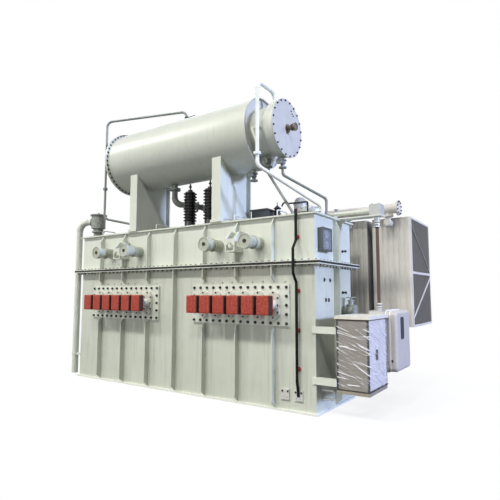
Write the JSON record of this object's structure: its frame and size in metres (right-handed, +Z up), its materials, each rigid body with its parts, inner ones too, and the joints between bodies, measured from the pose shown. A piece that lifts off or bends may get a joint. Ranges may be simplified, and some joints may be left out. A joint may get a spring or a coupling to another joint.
{
  "type": "power transformer",
  "caption": "Oil-filled power transformer with a ribbed bolted tank, conservator on pedestals, low-voltage terminal covers, bushings, tap changer drive, control cabinet and rear radiators.",
  "frame": {"origin": "middle of the tank footprint at ground level", "axes": "+X along the front wall to the end with the cabinets, -Y is the front with the terminals, +Z up"},
  "size_m": [6.5601, 3.4785, 5.2238],
  "materials": {
    "tank_paint": "satin, dusty",
    "plate_paint": "satin",
    "gasket_rubber": "matte",
    "cast_resin": "satin",
    "red_cover": "satin",
    "gauge_metal": "satin",
    "pipe_paint": "satin",
    "valve_metal": "satin",
    "relay_paint": "satin",
    "bushing_glaze": "glazed",
    "box_paint": "satin",
    "head_metal": "cast",
    "strap_paint": "satin",
    "clamp_resin": "satin",
    "pad_steel": "bare",
    "cabinet_base_paint": "matte",
    "cabinet_paint": "satin",
    "drive_paint": "satin",
    "shaft_steel": "matte",
    "gear_metal": "cast",
    "radiator_paint": "satin"
  },
  "bodies": {
    "transformer": {"base_plate": "tank_paint", "lower_tank": "tank_paint", "lower_ribs": "tank_paint", "lower_flange": "tank_paint", "flange_gasket": "gasket_rubber", "upper_flange": "tank_paint", "upper_tank": "tank_paint", "upper_ribs": "tank_paint", "tank_cover": "tank_paint", "terminal_plates": "plate_paint", "terminal_insulators": "cast_resin", "terminal_covers": "red_cover", "bollards": "tank_paint", "lifting_lugs": "tank_paint", "conservator_shell": "tank_paint", "conservator_left_end": "tank_paint", "conservator_right_end": "tank_paint", "tap_drum": "tank_paint", "tap_drum_cover": "tank_paint", "level_gauge": "gauge_metal", "pedestals": "tank_paint", "breather_pipe": "pipe_paint", "loop_pipe": "pipe_paint", "loop_pipe_bracket": "tank_paint", "oil_pipes": "pipe_paint", "shutoff_valves": "valve_metal", "relay_pipe": "pipe_paint", "gas_relay": "relay_paint", "relay_outlet": "pipe_paint", "high_voltage_bushings": "bushing_glaze", "neutral_bushing": "bushing_glaze", "cover_box": "box_paint", "tap_changer_head": "head_metal", "relief_valve": "valve_metal", "relief_pipe": "pipe_paint", "earth_strap": "strap_paint", "strap_clamps": "clamp_resin", "earth_pads": "pad_steel", "thermometer_box": "box_paint", "towing_loops": "tank_paint", "bracket_arms": "tank_paint", "cabinet_base": "cabinet_base_paint", "cabinet_body": "cabinet_paint", "cabinet_door": "cabinet_paint", "cabinet_roof": "cabinet_paint", "drive_housing": "drive_paint", "drive_rim": "drive_paint", "bevel_gear": "gear_metal", "gear_arm": "tank_paint", "oil_headers": "radiator_paint", "radiators": "radiator_paint", "radiator_necks": "radiator_paint", "radiator_ties": "radiator_paint"},
    "drive_door": {"drive_door": "drive_paint"},
    "drive_shaft": {"drive_shaft": "shaft_steel"}
  },
  "joints": [
    {"name": "drive_door_swing", "type": "hinge", "parent": "transformer", "child": "drive_door", "pos_m": [3.465, 0.886, 1], "axis": [0, 0, 1], "range_deg": [0, 90]},
    {"name": "drive_shaft_turn", "type": "hinge", "parent": "transformer", "child": "drive_shaft", "pos_m": [3.31, 0.27, 2.1], "axis": [0, 0, 1], "continuous": true}
  ]
}
